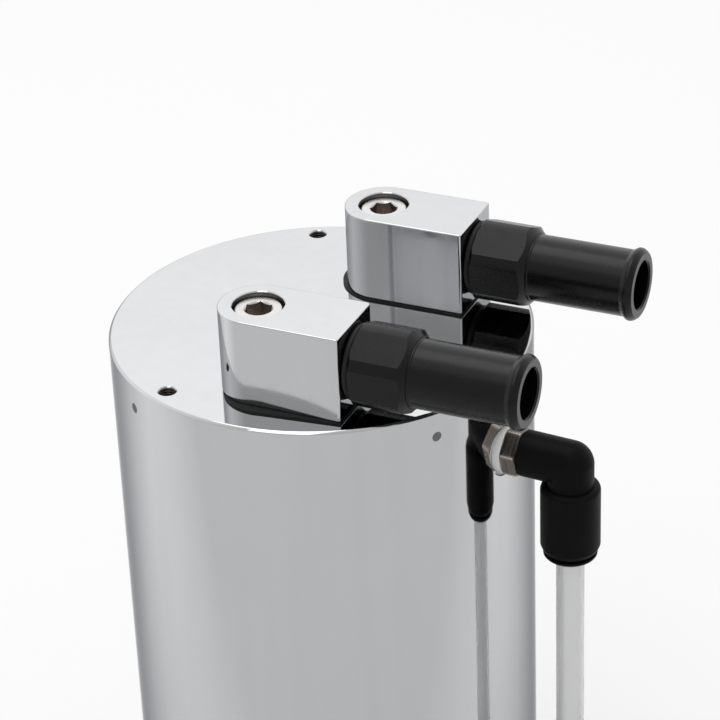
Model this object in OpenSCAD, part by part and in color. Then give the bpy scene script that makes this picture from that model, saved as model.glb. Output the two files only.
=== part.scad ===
// Round oil catch can with two swivelling hose ports and a clear level tube.
// Units are millimetres. The origin is on the can's axis at the bottom face, +Z is up
// and the hose ports point along +X.

/* [Can] */
// Outside diameter of the can
can_d = 120; // [110:1:150]
// Height from the bottom face to the top face
can_h = 190; // [170:1:260]
// Thickness of the top
top_t = 10; // [9:0.5:14]
// Thickness of the wall
wall_t = 4; // [3:0.5:5]
// Bevel on the outer edges of the can
edge_bevel = 0.8; // [0.3:0.1:1.5]
// Width of the screw ring inside the bottom edge
ring_w = 9; // [8:0.5:11]
// Height of the screw ring
ring_h = 10; // [8:0.5:14]

/* [Bracket holes] */
// Radius of the two threaded bracket holes
bracket_hole_r = 2.5; // [2:0.1:3]
// Distance between the two bracket holes
bracket_pitch = 98.6; // [80:0.1:102]
// Distance of the hole line behind the can's axis
bracket_back = 23.5; // [10:0.5:26]
// Depth of the bracket holes
bracket_depth = 8; // [5:0.5:8]
// Width of the bevel at the mouth of a bracket hole
bracket_bevel = 0.25; // [0.1:0.05:0.8]

/* [Base] */
// Thickness of the base plate's flange
base_t = 6; // [5:0.5:8]
// Depth of the spigot that enters the can
spigot_h = 6; // [5:0.5:8]
// Number of base screws
base_screw_n = 6; // [4:1:8]
// Thread radius of the base screws
base_screw_r = 2; // [1.5:0.5:2.5]
// Section radius of the base ring seal
base_seal_r = 0.9; // [0.7:0.1:1.1]
// Distance of the drain plug from the can's axis
drain_x = 32; // [20:1:34]
// Thread radius of the drain plug
drain_r = 6; // [5:0.5:7]
// Head radius of the drain plug
drain_head_r = 9; // [8.5:0.5:10]

/* [Port blocks] */
// Inlet bolt position across the ports
inlet_y = -38; // [-40:0.5:-34]
// Outlet bolt position along the ports
outlet_x = 8; // [0:0.5:12]
// Outlet bolt position across the ports
outlet_y = 28; // [26:0.5:32]
// Radius of the block's round end
block_r = 11.1; // [10.8:0.1:12]
// Distance from the bolt to the block's flat face
block_reach = 28; // [26:0.5:34]
// Height of the block
block_h = 25; // [24:0.5:28]
// Bevel on the block's edges
block_bevel = 0.35; // [0.2:0.05:0.8]
// Thickness of the gasket under the block
gasket_t = 0.6; // [0.5:0.1:1.2]
// How much wider the inlet gasket's round end is than the block's
inlet_gasket_lip = 1.6; // [1:0.1:3]
// How much wider the outlet gasket's round end is than the block's
outlet_gasket_lip = 2.7; // [1:0.1:3]
// How much wider the gasket's flat end is than the block's, on each side
gasket_end_lip = 0.2; // [0.1:0.1:0.8]
// Place of the inlet gasket's round end in front of the bolt
inlet_gasket_x = 2.8; // [0:0.1:4]
// Place of the inlet gasket's round end beside the bolt
inlet_gasket_y = -1.2; // [-2:0.1:0]
// Place of the outlet gasket's round end in front of the bolt
outlet_gasket_x = 0.4; // [0:0.1:4]
// Place of the outlet gasket's round end beside the bolt
outlet_gasket_y = 2.4; // [0:0.1:3]
// Height of the hose axis above the gasket
hose_axis_h = 13; // [12.8:0.1:14]

/* [Banjo bolts] */
// Radius of the bolt head
bolt_head_r = 6.8; // [6.5:0.1:7.2]
// Height of the bolt head
bolt_head_h = 5; // [4:0.5:5.5]
// Radius of the bolt shank
bolt_r = 5; // [4.5:0.1:5.2]
// Radius of the bolt's hollow centre
bolt_bore_r = 3; // [2.5:0.1:3.2]
// Width across flats of the socket in the head
bolt_socket = 7; // [6:0.5:8]
// How far the bolt head sits below the block's top
bolt_sink = 1.3; // [0.5:0.1:2]
// Thickness of the washer under the head
bolt_washer_t = 0.9; // [0.6:0.1:1.2]

/* [Hose barbs] */
// Radius of the hose tube
hose_r = 9.45; // [9:0.05:10]
// Radius of the barb's through bore
hose_bore_r = 6.85; // [6:0.05:7]
// Radius of the bead at the end
bead_r = 10.35; // [10.2:0.05:11]
// Distance from the bolt to the barb's mouth
hose_reach = 77.5; // [72:0.5:95]
// Width across flats of the hexagon
hose_hex = 21; // [20.5:0.5:22]
// Length of the hexagon
hose_hex_len = 16; // [12:0.5:18]
// Thread radius of the tail
tail_r = 8.5; // [8:0.1:8.7]
// Length of the tail inside the block
tail_len = 12; // [9:0.5:12.5]
// Turn of the inlet hexagon about its axis
inlet_hex_turn = 10; // [-30:1:30]
// Turn of the outlet hexagon about its axis
outlet_hex_turn = -2; // [-30:1:30]
// Section radius of the ring seal behind the hexagon
hose_seal_r = 1; // [0.9:0.05:1.1]

/* [Level gauge] */
// Direction of the gauge fittings about the can's axis
gauge_turn = -4; // [-12:1:4]
// Sideways place of the gauge fittings
gauge_side = -4.5; // [-6:0.5:0]
// Distance of the upper fitting below the can's top
gauge_drop = 23.8; // [22:0.2:40]
// Height of the lower fitting above the bottom face
gauge_low = 26; // [24:0.5:40]
// Distance of the tube from the can's wall
gauge_gap = 19; // [17:0.5:26]
// Depth of the flat seat cut in the wall
seat_cut = 1.7; // [1.6:0.1:2.2]
// Outside radius of the level tube
tube_r = 4; // [3.5:0.1:4.2]
// Wall thickness of the level tube
tube_wall = 1; // [0.75:0.05:1.25]
// Radius of the elbow's arms
elbow_r = 6.57; // [6.2:0.01:7]
// Radius of the elbow's tube sleeve
sleeve_r = 8.4; // [8.1:0.1:9]
// Length of the elbow from its axis to the sleeve's end
sleeve_end = 27.2; // [26:0.2:32]
// Thread radius of the adapter
adapter_r = 4.85; // [4.5:0.05:5]
// Width across flats of the adapter's hexagon
adapter_hex = 12.6; // [12.2:0.1:14]
// Turn of the adapter's hexagon about its axis
adapter_turn = 20; // [0:1:60]
// Length of the adapter's hexagon
adapter_hex_len = 4.8; // [4:0.1:6]
// Outside radius of the white sealing ring
seal_ring_r = 7.5; // [7.2:0.1:7.8]
// Thickness of the white sealing ring
seal_ring_t = 2; // [1.5:0.1:2.5]
// Travel of the release ring
release_travel = 0.9; // [0.6:0.1:1.2]
// Flange thickness of the release ring
release_flange = 1.2; // [1:0.1:2]

/* [Inside] */
// Height of the baffle plate above the bottom face
baffle_z = 100; // [90:1:130]
// Thickness of the baffle plate
baffle_t = 2; // [1.5:0.5:3]
// Radius of the holes in the baffle plate
baffle_hole_r = 2.5; // [2:0.1:3]
// Distance of the standoffs from the can's axis
standoff_x = 40; // [36:0.5:42]
// Radius of the standoffs
standoff_r = 3; // [2.8:0.1:4]
// Length of the standoffs' studs in the can's top
standoff_stud = 5; // [4:0.5:6]
// Length of the baffle screws' threads
baffle_screw_len = 10; // [8:0.5:12]
// Head radius of the baffle screws
baffle_head_r = 3.6; // [3.2:0.1:4]
// Head height of the baffle screws
baffle_head_h = 2; // [1.6:0.1:2.4]
// Distance between the baffle's rings of holes
baffle_pitch = 12; // [10:0.5:14]
// Length of the inlet's dip tube
dip_len = 92; // [70:1:92]

/* [Hidden] */
$fn = 96;
fit = 0.1;
free = 0.3;
half = 0.5;
can_r = can_d / 2;
cavity_r = can_r - wall_t;
ring_r = can_r - ring_w;
top_z = can_h;
roof_z = can_h - top_t;
ring_top = base_t + ring_h;
spigot_r = ring_r - fit;
spigot_top = base_t + spigot_h;
screw_circle = can_r - ring_w / 2;
base_screw_len = base_t + ring_h - 2;
base_groove_r = spigot_r - 2 * base_seal_r;
drain_sink = 0.8;
drain_washer_t = 1;
drain_washer_r = drain_head_r + 0.5;
drain_pocket_r = drain_washer_r + 2.5;
block_z = top_z + gasket_t;
block_top = block_z + block_h;
hose_z = block_z + hose_axis_h;
bolt_top = block_top - bolt_sink;
bolt_under = bolt_top - bolt_head_h;
pocket_r = bolt_head_r + free;
pocket_floor = bolt_under - bolt_washer_t;
gallery_r = 7.6;
gallery_h = 7.6;
passage_r = gallery_h / 2 - fit;
bolt_end = roof_z - 2;
bolt_tail = 8;
inlet_bolt_end = roof_z - bolt_tail;
hex_start = block_reach + 2 * hose_seal_r + 0.4;
hex_end = hex_start + hose_hex_len;
gauge_top_z = can_h - gauge_drop;
gauge_seat = can_r - seat_cut;
gauge_x = can_r + gauge_gap;
leg_start = gauge_seat + seal_ring_t + adapter_hex_len;
stem_r = elbow_r - 2.7;
stem_len = 5;
duct_r = tube_r - tube_wall;
tube_stop_gap = 4.6;
tube_stop = elbow_r + tube_stop_gap;
tube_seal_r = 0.8;
tube_seal_z = tube_stop + 3.3;
grip_z = tube_seal_z + 3;
collet_top = grip_z + 2.2;
collet_r = tube_r + 1.5;
stem_clear = free;
flange_top = sleeve_end + release_travel + fit;
flange_end = flange_top + release_flange;
flange_r = sleeve_r - 0.8;
tube_top = gauge_top_z - tube_stop;
tube_low = gauge_low + tube_stop;
baffle_r = ring_r - half;
baffle_clear = 1.2;
dip_in_r = bolt_r + fit;
dip_out_r = dip_in_r + 1.2;
dip_top = roof_z - free;
standoff_screw_r = 2;
eps = 0.01;

// Places its child at the inlet port's bolt axis.
module at_inlet() {
    translate([0, inlet_y, 0]) children();
}

// Places its child at the outlet port's bolt axis.
module at_outlet() {
    translate([outlet_x, outlet_y, 0]) children();
}

// Places a gauge fitting drawn with its leg along +X and its sleeve down.
module at_upper_gauge() {
    rotate([0, 0, gauge_turn])
        translate([0, gauge_side, gauge_top_z]) children();
}

// The same fitting upside down, at the lower end of the tube.
module at_lower_gauge() {
    rotate([0, 0, gauge_turn])
        translate([0, gauge_side, gauge_low]) mirror([0, 0, 1]) children();
}

// A round bar along +X from x0 to x1.
module bar_x(r, x0, x1) {
    translate([x0, 0, 0]) rotate([0, 90, 0]) cylinder(r = r, h = x1 - x0);
}

// A ring of round section about the Z axis.
module round_ring(r, section_r) {
    rotate_extrude() translate([r, 0]) circle(r = section_r, $fn = 32);
}

// A flat ring that stands on z = 0.
module flat_ring(outer_r, inner_r, t) {
    difference() {
        cylinder(r = outer_r, h = t);
        translate([0, 0, -1]) cylinder(r = inner_r, h = t + 2);
    }
}

// A hexagonal prism from the width across its flats.
module hex_prism(flats, h) {
    cylinder(r = flats / 2 / cos(30), h = h, $fn = 6);
}

// Outline of a port block seen from above: round at the bolt, flat at the hose.
module block_outline(r, reach, corner) {
    circle(r = r);
    polygon([[0, -r], [reach - corner, -r], [reach, -r + corner],
             [reach, r - corner], [reach - corner, r], [0, r]]);
}

// The bevelled top rim of a port block, standing on z = 0.
module block_rim(r, reach, bevel) {
    cylinder(r1 = r, r2 = r - bevel, h = bevel);
    intersection() {
        rotate([90, 0, 90]) linear_extrude(height = reach)
            polygon([[-r, 0], [r, 0], [r - bevel, bevel], [-r + bevel, bevel]]);
        translate([0, r, 0]) rotate([90, 0, 0]) linear_extrude(height = 2 * r)
            polygon([[0, 0], [reach, 0], [reach - bevel, bevel], [0, bevel]]);
        linear_extrude(height = bevel) block_outline(r, reach, bevel);
    }
}

module port_block() {
    difference() {
        union() {
            translate([0, 0, block_z]) linear_extrude(height = block_h - block_bevel)
                block_outline(block_r, block_reach, block_bevel);
            translate([0, 0, block_top - block_bevel])
                block_rim(block_r, block_reach, block_bevel);
        }
        translate([0, 0, block_z - 1]) cylinder(r = bolt_r + fit, h = block_h + 2);
        translate([0, 0, pocket_floor]) cylinder(r = pocket_r, h = block_h);
        translate([0, 0, hose_z - gallery_h / 2]) cylinder(r = gallery_r, h = gallery_h);
        translate([0, 0, hose_z]) {
            bar_x(passage_r, 0, block_reach - tail_len);
            bar_x(tail_r + fit, block_reach - tail_len - half, block_reach + 1);
        }
    }
}

// Outline of a gasket seen from above, with its round end at x, y from the bolt.
module gasket_outline(x, y, lip) {
    end_r = block_r + lip;
    translate([x, y]) circle(r = end_r);
    polygon([[x, y - end_r], [block_reach, -block_r - gasket_end_lip],
             [block_reach, block_r + gasket_end_lip], [x, y + end_r]]);
}

module port_gasket(x, y, lip) {
    difference() {
        translate([0, 0, top_z + fit / 2]) linear_extrude(height = gasket_t - fit / 2)
            gasket_outline(x, y, lip);
        translate([0, 0, top_z - 1]) cylinder(r = bolt_r + free, h = gasket_t + 2);
    }
}

module port_washer() {
    translate([0, 0, pocket_floor + fit / 2])
        flat_ring(bolt_head_r, bolt_r + fit, bolt_washer_t - fit / 2);
}

module banjo_bolt(end_z) {
    bevel = 0.5;
    difference() {
        union() {
            translate([0, 0, end_z]) cylinder(r = bolt_r, h = bolt_under - end_z + eps);
            translate([0, 0, bolt_under]) cylinder(r = bolt_head_r, h = bolt_head_h - bevel);
            translate([0, 0, bolt_top - bevel])
                cylinder(r1 = bolt_head_r, r2 = bolt_head_r - bevel, h = bevel);
        }
        translate([0, 0, end_z - 1])
            cylinder(r = bolt_bore_r, h = hose_z + gallery_h / 2 - end_z + 1);
        translate([0, 0, bolt_top - bolt_head_h + 1]) hex_prism(bolt_socket, bolt_head_h);
        translate([0, 0, bolt_top - 0.6])
            cylinder(r1 = bolt_socket / 2, r2 = bolt_socket / 2 + 0.8, h = 0.8);
        for (turn = [0, 90])
            translate([0, 0, hose_z]) rotate([0, 0, turn + 45]) bar_x(2, -8, 8);
    }
}

module hose_barb(hex_turn) {
    step = 1.7;
    bead_start = hose_reach - 3.6;
    translate([0, 0, hose_z]) difference() {
        union() {
            bar_x(tail_r, block_reach - tail_len, hex_start + 1);
            intersection() {
                translate([hex_start, 0, 0]) rotate([0, 90, 0]) rotate([0, 0, 30 + hex_turn])
                    hex_prism(hose_hex, hose_hex_len);
                rotate([0, 90, 0]) rotate_extrude()
                    polygon([[0, hex_start], [hose_hex / 2 + 1.2, hex_start],
                             [hose_hex / 2 + 3, hex_start + 1],
                             [hose_hex / 2 + 3, hex_end - step * 1.6],
                             [hose_r + 0.5, hex_end], [0, hex_end]]);
            }
            rotate([0, 90, 0]) rotate_extrude()
                polygon([[0, hex_start + 1], [hose_r + 0.3, hex_start + 1],
                         [hose_r + 0.3, hex_end + 0.4], [hose_r, hex_end + 0.7],
                         [hose_r, bead_start], [bead_r - 0.1, bead_start + 1.2],
                         [bead_r, bead_start + 1.5], [bead_r, bead_start + 2],
                         [bead_r - 0.25, bead_start + 2.7], [bead_r - 0.8, hose_reach - 0.2],
                         [bead_r - 1.2, hose_reach], [0, hose_reach]]);
        }
        bar_x(hose_bore_r, block_reach - tail_len - 1, hose_reach + 1);
        translate([hose_reach - 0.4, 0, 0]) rotate([0, 90, 0])
            cylinder(r1 = hose_bore_r, r2 = hose_bore_r + 0.6, h = 0.6);
    }
}

module hose_seal() {
    translate([block_reach + hose_seal_r + 0.2, 0, hose_z]) rotate([0, 90, 0])
        round_ring(tail_r + hose_seal_r + 0.05, hose_seal_r);
}

// Solid outline of a gauge elbow, with its leg along +X and its sleeve down.
module elbow_solid() {
    round = 2.2;
    bar_x(elbow_r, leg_start, gauge_x);
    translate([gauge_x, 0, 0]) {
        sphere(r = elbow_r);
        translate([0, 0, -elbow_r - 1]) cylinder(r = elbow_r, h = elbow_r + 1);
        rotate_extrude() union() {
            translate([0, -sleeve_end + 1.6])
                square([sleeve_r, sleeve_end - elbow_r - 1.6 - round]);
            translate([0, -elbow_r - round]) square([sleeve_r - round, round]);
            intersection() {
                translate([sleeve_r - round, -elbow_r - round]) circle(r = round, $fn = 48);
                translate([0, -elbow_r - round - 1]) square([sleeve_r, round + 1]);
            }
            polygon([[0, -sleeve_end], [sleeve_r - 0.65, -sleeve_end],
                     [sleeve_r, -sleeve_end + 1.6], [0, -sleeve_end + 1.6]]);
        }
    }
}

module gauge_elbow() {
    difference() {
        elbow_solid();
        bar_x(stem_r + fit, leg_start - 1, leg_start + stem_len + half);
        bar_x(duct_r, leg_start, gauge_x);
        translate([gauge_x, 0, 0]) {
            translate([0, 0, -tube_stop - 1]) cylinder(r = duct_r, h = tube_stop + 1);
            translate([0, 0, -sleeve_end - 1])
                cylinder(r = tube_r + fit, h = sleeve_end + 1 - tube_stop);
            translate([0, 0, -tube_seal_z - 1])
                cylinder(r = tube_r + 2 * tube_seal_r + 0.15, h = 2);
            translate([0, 0, -grip_z - 1.2]) cylinder(r = sleeve_r - 1.8, h = 1.6);
            translate([0, 0, -sleeve_end - 1])
                cylinder(r = collet_r, h = sleeve_end + 1 - collet_top);
        }
    }
}

module gauge_adapter() {
    bevel = 0.5;
    hex_x = gauge_seat + seal_ring_t;
    difference() {
        union() {
            bar_x(adapter_r, gauge_seat - wall_t - 1.5, hex_x + eps);
            intersection() {
                translate([hex_x, 0, 0]) rotate([0, 90, 0]) rotate([0, 0, adapter_turn])
                    hex_prism(adapter_hex, adapter_hex_len);
                rotate([0, 90, 0]) rotate_extrude()
                    polygon([[0, hex_x], [adapter_hex / 2 + 0.1, hex_x],
                             [adapter_hex / 2 + 1.1, hex_x + bevel],
                             [adapter_hex / 2 + 1.1, leg_start - bevel],
                             [adapter_hex / 2 + 0.1, leg_start], [0, leg_start]]);
            }
            bar_x(stem_r, leg_start - eps, leg_start + stem_len);
        }
        bar_x(duct_r - half, gauge_seat - wall_t - 3, leg_start + stem_len + 1);
    }
}

module gauge_seal_ring() {
    bevel = 0.3;
    rotate([0, 90, 0]) rotate_extrude()
        polygon([[adapter_r + fit, gauge_seat], [seal_ring_r - bevel, gauge_seat],
                 [seal_ring_r, gauge_seat + bevel],
                 [seal_ring_r, gauge_seat + seal_ring_t - bevel],
                 [seal_ring_r - bevel, gauge_seat + seal_ring_t],
                 [adapter_r + fit, gauge_seat + seal_ring_t]]);
}

module gauge_tube_seal() {
    translate([gauge_x, 0, -tube_seal_z])
        round_ring(tube_r + tube_seal_r + 0.07, tube_seal_r);
}

// Thin cone of spring steel that grips the tube.
module gauge_grip_ring() {
    edge_r = sleeve_r - 1.8 - fit;
    translate([gauge_x, 0, -grip_z]) rotate_extrude()
        polygon([[edge_r, 0], [edge_r, -0.4], [tube_r + 0.4, -1.1],
                 [tube_r + 0.06, -1.1], [tube_r + 0.06, -0.7]]);
}

module gauge_release_ring() {
    stem_in = tube_r + stem_clear;
    stem_out = collet_r - stem_clear;
    edge = 0.7;
    translate([gauge_x, 0, 0]) rotate_extrude()
        polygon([[stem_in, -flange_end], [flange_r - edge - 0.3, -flange_end],
                 [flange_r - 0.3, -flange_end + edge * 0.6],
                 [flange_r, -flange_end + edge], [flange_r, -flange_top],
                 [stem_out, -flange_top], [stem_out, -collet_top - release_travel - half],
                 [stem_in, -collet_top - release_travel - half]]);
}

// Threaded hole and flat seat for a gauge adapter.
module gauge_port() {
    over = wall_t;
    bar_x(adapter_r + fit, gauge_seat - wall_t - over, can_r + over);
    bar_x(seal_ring_r + half, gauge_seat, can_r + over);
}

module can_body() {
    color([0.8, 0.81, 0.82]) difference() {
        union() {
            translate([0, 0, base_t]) cylinder(r = can_r, h = can_h - base_t - edge_bevel);
            translate([0, 0, can_h - edge_bevel])
                cylinder(r1 = can_r, r2 = can_r - edge_bevel, h = edge_bevel);
        }
        translate([0, 0, ring_top]) cylinder(r = cavity_r, h = roof_z - ring_top);
        translate([0, 0, base_t - 1]) cylinder(r = ring_r, h = ring_h + 2);
        at_inlet() translate([0, 0, roof_z - 1]) cylinder(r = bolt_r + fit, h = top_t + 2);
        at_outlet() translate([0, 0, roof_z - 1]) cylinder(r = bolt_r + fit, h = top_t + 2);
        for (side = [-1, 1])
            translate([-bracket_back, side * bracket_pitch / 2, top_z]) {
                translate([0, 0, -bracket_depth])
                    cylinder(r = bracket_hole_r, h = bracket_depth + 1);
                translate([0, 0, -bracket_bevel])
                    cylinder(r1 = bracket_hole_r, r2 = bracket_hole_r + 2 * bracket_bevel,
                             h = 2 * bracket_bevel);
            }
        for (turn = [0 : base_screw_n - 1])
            rotate([0, 0, 30 + turn * 360 / base_screw_n]) translate([screw_circle, 0, base_t - 1])
                cylinder(r = base_screw_r + fit, h = ring_h);
        for (turn = [0, 120, 240])
            rotate([0, 0, turn]) translate([standoff_x, 0, roof_z - 1])
                cylinder(r = standoff_screw_r + fit, h = standoff_stud + 2);
        at_upper_gauge() gauge_port();
        at_lower_gauge() gauge_port();
    }
}

module base_plate() {
    color([0.78, 0.79, 0.8]) difference() {
        union() {
            cylinder(r1 = can_r - edge_bevel, r2 = can_r, h = edge_bevel);
            translate([0, 0, edge_bevel]) cylinder(r = can_r, h = base_t - edge_bevel);
            translate([0, 0, base_t]) cylinder(r = spigot_r, h = spigot_h);
        }
        translate([0, 0, base_t + spigot_h / 2 - base_seal_r - fit])
            flat_ring(spigot_r + 1, base_groove_r, 2 * base_seal_r + 2 * fit);
        for (turn = [0 : base_screw_n - 1])
            rotate([0, 0, 30 + turn * 360 / base_screw_n]) translate([screw_circle, 0, 0]) {
                translate([0, 0, -1]) cylinder(r = base_screw_r + fit, h = base_t + 2);
                translate([0, 0, -eps])
                    cylinder(r1 = 2 * base_screw_r + free, r2 = base_screw_r + fit,
                             h = base_screw_r + free);
            }
        translate([-drain_x, 0, -1]) {
            cylinder(r = drain_pocket_r, h = base_t + 1 - half);
            cylinder(r = drain_r + fit, h = spigot_top + 2);
        }
    }
}

module base_seal() {
    color([0.06, 0.06, 0.06])
        translate([0, 0, base_t + spigot_h / 2])
            round_ring(base_groove_r + base_seal_r + 0.02, base_seal_r);
}

module base_screws() {
    color([0.7, 0.7, 0.72]) for (turn = [0 : base_screw_n - 1])
        rotate([0, 0, 30 + turn * 360 / base_screw_n]) translate([screw_circle, 0, 0])
            difference() {
                union() {
                    translate([0, 0, free])
                        cylinder(r1 = 2 * base_screw_r - fit, r2 = base_screw_r,
                                 h = base_screw_r - fit);
                    translate([0, 0, base_screw_r])
                        cylinder(r = base_screw_r, h = base_screw_len - 2 * base_screw_r);
                }
                translate([0, 0, -1]) hex_prism(base_screw_r * 1.25, 2.6);
            }
}

module drain_plug() {
    shoulder = base_t - half - drain_washer_t;
    drain_hex = drain_head_r * 8 / 9;
    color([0.68, 0.69, 0.7]) translate([-drain_x, 0, 0]) difference() {
        union() {
            translate([0, 0, drain_sink])
                cylinder(r1 = drain_head_r - half, r2 = drain_head_r, h = half);
            translate([0, 0, drain_sink + half])
                cylinder(r = drain_head_r, h = shoulder - drain_sink - half);
            translate([0, 0, shoulder - eps]) cylinder(r = drain_r, h = spigot_top - shoulder);
        }
        hex_prism(drain_hex, shoulder);
    }
}

module drain_washer() {
    color([0.72, 0.45, 0.2]) translate([-drain_x, 0, base_t - half - drain_washer_t])
        flat_ring(drain_washer_r, drain_r + fit, drain_washer_t);
}

module inlet_block() {
    color([0.82, 0.83, 0.84]) at_inlet() port_block();
}

module inlet_gasket() {
    color([0.05, 0.05, 0.05]) at_inlet()
        port_gasket(inlet_gasket_x, inlet_gasket_y, inlet_gasket_lip);
}

module inlet_washer() {
    color([0.1, 0.1, 0.1]) at_inlet() port_washer();
}

module inlet_bolt() {
    color([0.75, 0.75, 0.76]) at_inlet() banjo_bolt(inlet_bolt_end);
}

module inlet_barb() {
    color([0.08, 0.08, 0.09]) at_inlet() hose_barb(inlet_hex_turn);
}

module inlet_barb_seal() {
    color([0.04, 0.04, 0.04]) at_inlet() hose_seal();
}

module outlet_block() {
    color([0.82, 0.83, 0.84]) at_outlet() port_block();
}

module outlet_gasket() {
    color([0.05, 0.05, 0.05]) at_outlet()
        port_gasket(outlet_gasket_x, outlet_gasket_y, outlet_gasket_lip);
}

module outlet_washer() {
    color([0.1, 0.1, 0.1]) at_outlet() port_washer();
}

module outlet_bolt() {
    color([0.75, 0.75, 0.76]) at_outlet() banjo_bolt(bolt_end);
}

module outlet_barb() {
    color([0.08, 0.08, 0.09]) at_outlet() hose_barb(outlet_hex_turn);
}

module outlet_barb_seal() {
    color([0.04, 0.04, 0.04]) at_outlet() hose_seal();
}

module upper_adapter() {
    color([0.5, 0.47, 0.44]) at_upper_gauge() gauge_adapter();
}

module upper_seal_ring() {
    color([0.92, 0.92, 0.9]) at_upper_gauge() gauge_seal_ring();
}

module upper_elbow() {
    color([0.06, 0.06, 0.06]) at_upper_gauge() gauge_elbow();
}

module upper_tube_seal() {
    color([0.12, 0.1, 0.08]) at_upper_gauge() gauge_tube_seal();
}

module upper_grip_ring() {
    color([0.65, 0.66, 0.68]) at_upper_gauge() gauge_grip_ring();
}

module upper_release_ring() {
    color([0.07, 0.07, 0.07]) at_upper_gauge() gauge_release_ring();
}

module lower_adapter() {
    color([0.5, 0.47, 0.44]) at_lower_gauge() gauge_adapter();
}

module lower_seal_ring() {
    color([0.92, 0.92, 0.9]) at_lower_gauge() gauge_seal_ring();
}

module lower_elbow() {
    color([0.06, 0.06, 0.06]) at_lower_gauge() gauge_elbow();
}

module lower_tube_seal() {
    color([0.12, 0.1, 0.08]) at_lower_gauge() gauge_tube_seal();
}

module lower_grip_ring() {
    color([0.65, 0.66, 0.68]) at_lower_gauge() gauge_grip_ring();
}

module lower_release_ring() {
    color([0.07, 0.07, 0.07]) at_lower_gauge() gauge_release_ring();
}

module gauge_tube() {
    color([0.85, 0.86, 0.87, 0.6]) rotate([0, 0, gauge_turn])
        translate([gauge_x, gauge_side, tube_low])
            flat_ring(tube_r, tube_r - tube_wall, tube_top - tube_low);
}

module baffle_plate() {
    color([0.7, 0.71, 0.72]) translate([0, 0, baffle_z]) difference() {
        cylinder(r = baffle_r, h = baffle_t);
        at_inlet() translate([0, 0, -1]) cylinder(r = dip_out_r + baffle_clear, h = baffle_t + 2);
        for (turn = [0, 120, 240])
            rotate([0, 0, turn]) translate([standoff_x, 0, -1])
                cylinder(r = standoff_screw_r + fit, h = baffle_t + 2);
        for (ring = [1 : 2], turn = [0 : 6 * ring - 1])
            rotate([0, 0, 30 + turn * 60 / ring]) translate([ring * baffle_pitch, 0, -1])
                cylinder(r = baffle_hole_r, h = baffle_t + 2, $fn = 32);
    }
}

module baffle_standoffs() {
    color([0.68, 0.69, 0.7]) for (turn = [0, 120, 240])
        rotate([0, 0, turn]) translate([standoff_x, 0, 0]) difference() {
            union() {
                translate([0, 0, baffle_z + baffle_t])
                    cylinder(r = standoff_r, h = roof_z - baffle_z - baffle_t);
                translate([0, 0, roof_z - eps])
                    cylinder(r = standoff_screw_r, h = standoff_stud);
            }
            translate([0, 0, baffle_z + baffle_t - 1])
                cylinder(r = standoff_screw_r + fit, h = baffle_screw_len + 1);
        }
}

module baffle_screws() {
    color([0.66, 0.67, 0.68]) for (turn = [0, 120, 240])
        rotate([0, 0, turn]) translate([standoff_x, 0, 0]) difference() {
            union() {
                translate([0, 0, baffle_z - baffle_head_h])
                    cylinder(r = baffle_head_r, h = baffle_head_h);
                translate([0, 0, baffle_z - eps])
                    cylinder(r = standoff_screw_r, h = baffle_screw_len);
            }
            translate([0, 0, baffle_z - 1.5 * baffle_head_h])
                hex_prism(baffle_head_r * 0.7, 1.1 * baffle_head_h);
        }
}

module dip_tube() {
    color([0.74, 0.75, 0.76]) at_inlet() translate([0, 0, dip_top - dip_len])
        flat_ring(dip_out_r, dip_in_r, dip_len);
}

can_body();
base_plate();
base_seal();
base_screws();
drain_plug();
drain_washer();
inlet_block();
inlet_gasket();
inlet_washer();
inlet_bolt();
inlet_barb();
inlet_barb_seal();
outlet_block();
outlet_gasket();
outlet_washer();
outlet_bolt();
outlet_barb();
outlet_barb_seal();
upper_adapter();
upper_seal_ring();
upper_elbow();
upper_tube_seal();
upper_grip_ring();
upper_release_ring();
lower_adapter();
lower_seal_ring();
lower_elbow();
lower_tube_seal();
lower_grip_ring();
lower_release_ring();
gauge_tube();
baffle_plate();
baffle_standoffs();
baffle_screws();
dip_tube();
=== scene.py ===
"""Looks of a round oil catch can with two swivelling hose ports and a level tube.

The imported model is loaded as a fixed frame. Each sub-assembly is a class that holds its
sizes in millimetres, in the frame's own axes: the origin is on the can's axis at the
bottom face, +Z is up and the hose ports point along +X.
"""

import functools
import logging
import math
from dataclasses import dataclass, field
from enum import Enum
from typing import Any, Callable, Optional, Sequence, Union

import bmesh
import bpy
from bmesh.types import BMEdge as Edge
from bpy.types import Material, Mesh, Node, NodeSocket as Socket, NodeTree as Tree, Object
from mathutils import Matrix, Vector


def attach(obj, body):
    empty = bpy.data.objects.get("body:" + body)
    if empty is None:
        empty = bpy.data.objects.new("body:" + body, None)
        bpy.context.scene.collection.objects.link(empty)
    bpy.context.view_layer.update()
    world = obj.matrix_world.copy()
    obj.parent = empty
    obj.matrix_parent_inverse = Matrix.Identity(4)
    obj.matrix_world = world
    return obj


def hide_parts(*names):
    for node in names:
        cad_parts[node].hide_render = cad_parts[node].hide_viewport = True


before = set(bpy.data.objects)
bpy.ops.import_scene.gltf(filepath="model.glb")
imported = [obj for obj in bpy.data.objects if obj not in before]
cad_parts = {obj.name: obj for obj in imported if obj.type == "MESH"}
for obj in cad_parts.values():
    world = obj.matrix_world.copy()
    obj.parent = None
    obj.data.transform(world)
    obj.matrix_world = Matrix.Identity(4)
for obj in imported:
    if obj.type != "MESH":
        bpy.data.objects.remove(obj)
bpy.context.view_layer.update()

LOG = logging.getLogger("catch_can")
MM = 0.001
TINY = 1e-4
SMALL, ROUND, SMOOTH, FINE = 48, 96, 144, 288
SPOT_EDGE = 0.05 * MM
WELL_SHADE = (0.15 * MM, 0.45 * MM)

Pair = tuple[float, float]
Triple = tuple[float, float, float]


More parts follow.
